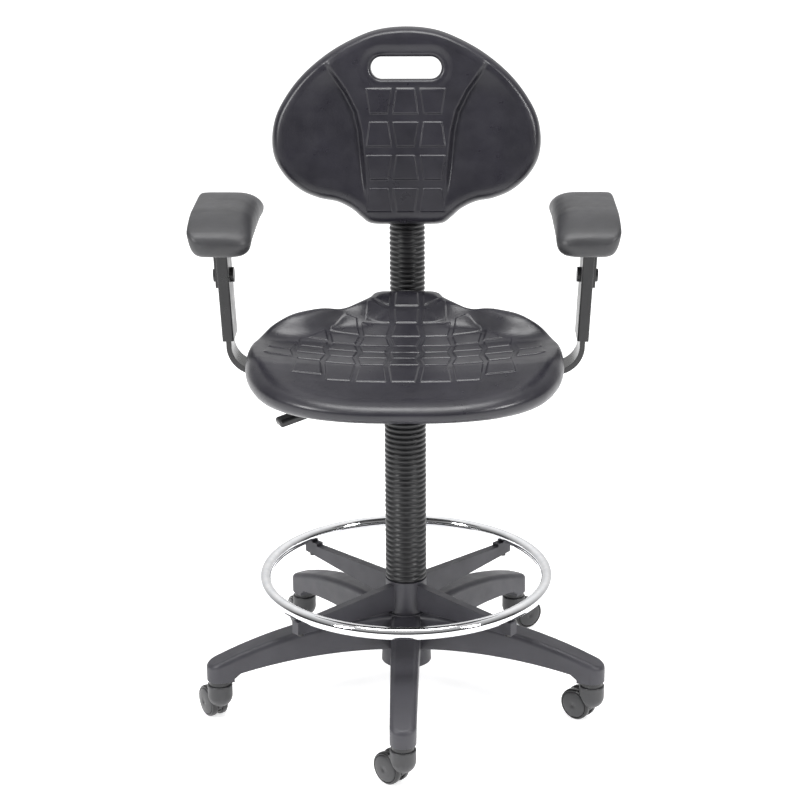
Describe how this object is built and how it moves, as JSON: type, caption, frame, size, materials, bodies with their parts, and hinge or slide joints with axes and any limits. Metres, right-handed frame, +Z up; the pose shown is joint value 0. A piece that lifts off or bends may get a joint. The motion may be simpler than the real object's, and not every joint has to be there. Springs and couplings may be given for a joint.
{
  "type": "drafting chair",
  "caption": "Tall swivel drafting chair with moulded seat, handled backrest, adjustable arm pads, gas lift in bellows, foot ring and castor base.",
  "frame": {"origin": "on the swivel axis at floor level, between the five castors", "axes": "+Z up along the column, -Y towards the front of the chair, +X to the right of a viewer who faces the chair's front"},
  "size_m": [0.6413, 0.6136, 1.0253],
  "materials": {
    "nylon": "satin moulded",
    "castor_nylon": "satin moulded",
    "castor_tread": "smooth with glossy rim",
    "steel": "turned",
    "black_bolt": "black oxide",
    "black_steel": "black powder coat",
    "bush_plastic": "natural acetal",
    "chrome_tube": "bright",
    "bellows_rubber": "matt ribbed",
    "skin_foam": "self-skinned polyurethane, semi-gloss",
    "board": "plywood",
    "grip_plastic": "moulded"
  },
  "bodies": {
    "root": {"star_base": "nylon", "hub_insert": "steel", "lift_outer_tube": "black_steel", "guide_bush": "bush_plastic", "thrust_bearing": "steel", "caster_stems": "black_bolt", "footring_spider": "nylon", "foot_ring": "chrome_tube", "footring_screws": "black_bolt"},
    "lift_rod": {"piston_rod": "steel", "retaining_clip": "steel", "lower_bellows": "bellows_rubber"},
    "seat": {"gas_cylinder": "steel", "mechanism": "black_steel", "lever_pin": "steel", "seat_pad": "skin_foam", "seat_board": "board", "seat_bolts": "black_bolt", "arm_bar_bolts": "black_bolt", "arm_bar_left": "black_steel", "arm_bar_right": "black_steel"},
    "lever": {"lift_lever": "black_steel", "lever_grip": "grip_plastic"},
    "release_pin": {"release_pin": "steel"},
    "depth_knob": {"depth_knob": "grip_plastic"},
    "back_bar": {"back_bar": "black_steel", "upper_bellows": "bellows_rubber"},
    "back": {"back_bracket": "black_steel", "back_plate": "black_steel", "back_bolts": "black_bolt", "backrest": "skin_foam"},
    "height_knob": {"height_knob": "grip_plastic"},
    "arm_left": {"arm_sleeve_left": "grip_plastic", "arm_bracket_left": "black_steel", "arm_fasteners_left": "black_bolt", "arm_pad_left": "skin_foam"},
    "arm_right": {"arm_sleeve_right": "grip_plastic", "arm_bracket_right": "black_steel", "arm_fasteners_right": "black_bolt", "arm_pad_right": "skin_foam"},
    "caster_1": {"caster_housing_1": "castor_nylon", "caster_axle_1": "steel"},
    "wheel_left_1": {"caster_wheel_left_1": "castor_tread"},
    "wheel_right_1": {"caster_wheel_right_1": "castor_tread"},
    "caster_2": {"caster_housing_2": "castor_nylon", "caster_axle_2": "steel"},
    "wheel_left_2": {"caster_wheel_left_2": "castor_tread"},
    "wheel_right_2": {"caster_wheel_right_2": "castor_tread"},
    "caster_3": {"caster_housing_3": "castor_nylon", "caster_axle_3": "steel"},
    "wheel_left_3": {"caster_wheel_left_3": "castor_tread"},
    "wheel_right_3": {"caster_wheel_right_3": "castor_tread"},
    "caster_4": {"caster_housing_4": "castor_nylon", "caster_axle_4": "steel"},
    "wheel_left_4": {"caster_wheel_left_4": "castor_tread"},
    "wheel_right_4": {"caster_wheel_right_4": "castor_tread"},
    "caster_5": {"caster_housing_5": "castor_nylon", "caster_axle_5": "steel"},
    "wheel_left_5": {"caster_wheel_left_5": "castor_tread"},
    "wheel_right_5": {"caster_wheel_right_5": "castor_tread"}
  },
  "joints": [
    {"name": "swivel", "type": "hinge", "parent": "root", "child": "lift_rod", "pos_m": [0, 0, 0.06], "axis": [0, 0, 1], "continuous": true},
    {"name": "seat_lift", "type": "slide", "parent": "lift_rod", "child": "seat", "axis": [0, 0, 1], "range_m": [0, 0.254], "deforming": ["lower_bellows"]},
    {"name": "lever_lift", "type": "hinge", "parent": "seat", "child": "lever", "pos_m": [-0.035, 0, 0.5155], "axis": [0, 1, 0], "range_deg": [0, 5], "stiffness_Nm_per_rad": 1, "springref_deg": -5.73},
    {"name": "pin_press", "type": "slide", "parent": "seat", "child": "release_pin", "axis": [0, 0, -1], "range_m": [0, 0.0031], "stiffness_N_per_m": 300, "springref_m": -0.001},
    {"name": "depth_knob_turn", "type": "hinge", "parent": "seat", "child": "depth_knob", "pos_m": [0, 0.1, 0.486], "axis": [0, 0, 1], "range_deg": [0, 270]},
    {"name": "back_depth", "type": "slide", "parent": "seat", "child": "back_bar", "axis": [0, 1, 0], "range_m": [0, 0.05]},
    {"name": "back_height", "type": "slide", "parent": "back_bar", "child": "back", "axis": [0, 0, 1], "range_m": [0, 0.06], "deforming": ["upper_bellows"]},
    {"name": "height_knob_turn", "type": "hinge", "parent": "back", "child": "height_knob", "pos_m": [0, 0.258, 0.79], "axis": [0, 1, 0], "range_deg": [0, 270]},
    {"name": "arm_left_height", "type": "slide", "parent": "seat", "child": "arm_left", "axis": [-0.0489, 0, 0.9988], "range_m": [0, 0.045]},
    {"name": "arm_right_height", "type": "slide", "parent": "seat", "child": "arm_right", "axis": [0.0489, 0, 0.9988], "range_m": [0, 0.045]},
    {"name": "caster_1_swivel", "type": "hinge", "parent": "root", "child": "caster_1", "pos_m": [0, -0.301, 0.06], "axis": [0, 0, 1], "continuous": true},
    {"name": "wheel_left_1_spin", "type": "hinge", "parent": "caster_1", "child": "wheel_left_1", "pos_m": [-0.01755, -0.28463, 0.025], "axis": [-0.682, -0.7314, 0], "continuous": true},
    {"name": "wheel_right_1_spin", "type": "hinge", "parent": "caster_1", "child": "wheel_right_1", "pos_m": [-0.01755, -0.28463, 0.025], "axis": [-0.682, -0.7314, 0], "continuous": true},
    {"name": "caster_2_swivel", "type": "hinge", "parent": "root", "child": "caster_2", "pos_m": [0.28627, -0.09301, 0.06], "axis": [0, 0, 1], "continuous": true},
    {"name": "wheel_left_2_spin", "type": "hinge", "parent": "caster_2", "child": "wheel_left_2", "pos_m": [0.26762, -0.07791, 0.025], "axis": [-0.6293, -0.7771, 0], "continuous": true},
    {"name": "wheel_right_2_spin", "type": "hinge", "parent": "caster_2", "child": "wheel_right_2", "pos_m": [0.26762, -0.07791, 0.025], "axis": [-0.6293, -0.7771, 0], "continuous": true},
    {"name": "caster_3_swivel", "type": "hinge", "parent": "root", "child": "caster_3", "pos_m": [0.17692, 0.24351, 0.06], "axis": [0, 0, 1], "continuous": true},
    {"name": "wheel_left_3_spin", "type": "hinge", "parent": "caster_3", "child": "wheel_left_3", "pos_m": [0.19728, 0.25623, 0.025], "axis": [-0.5299, 0.848, 0], "continuous": true},
    {"name": "wheel_right_3_spin", "type": "hinge", "parent": "caster_3", "child": "wheel_right_3", "pos_m": [0.19728, 0.25623, 0.025], "axis": [-0.5299, 0.848, 0], "continuous": true},
    {"name": "caster_4_swivel", "type": "hinge", "parent": "root", "child": "caster_4", "pos_m": [-0.17692, 0.24351, 0.06], "axis": [0, 0, 1], "continuous": true},
    {"name": "wheel_left_4_spin", "type": "hinge", "parent": "caster_4", "child": "wheel_left_4", "pos_m": [-0.18707, 0.26527, 0.025], "axis": [-0.9063, -0.4226, 0], "continuous": true},
    {"name": "wheel_right_4_spin", "type": "hinge", "parent": "caster_4", "child": "wheel_right_4", "pos_m": [-0.18707, 0.26527, 0.025], "axis": [-0.9063, -0.4226, 0], "continuous": true},
    {"name": "caster_5_swivel", "type": "hinge", "parent": "root", "child": "caster_5", "pos_m": [-0.28627, -0.09301, 0.06], "axis": [0, 0, 1], "continuous": true},
    {"name": "wheel_left_5_spin", "type": "hinge", "parent": "caster_5", "child": "wheel_left_5", "pos_m": [-0.29969, -0.07312, 0.025], "axis": [-0.829, -0.5592, 0], "continuous": true},
    {"name": "wheel_right_5_spin", "type": "hinge", "parent": "caster_5", "child": "wheel_right_5", "pos_m": [-0.29969, -0.07312, 0.025], "axis": [-0.829, -0.5592, 0], "continuous": true}
  ],
  "couplings": [
    {"joint": "pin_press", "follows": "lever_lift", "m_per_rad": 0.035}
  ]
}
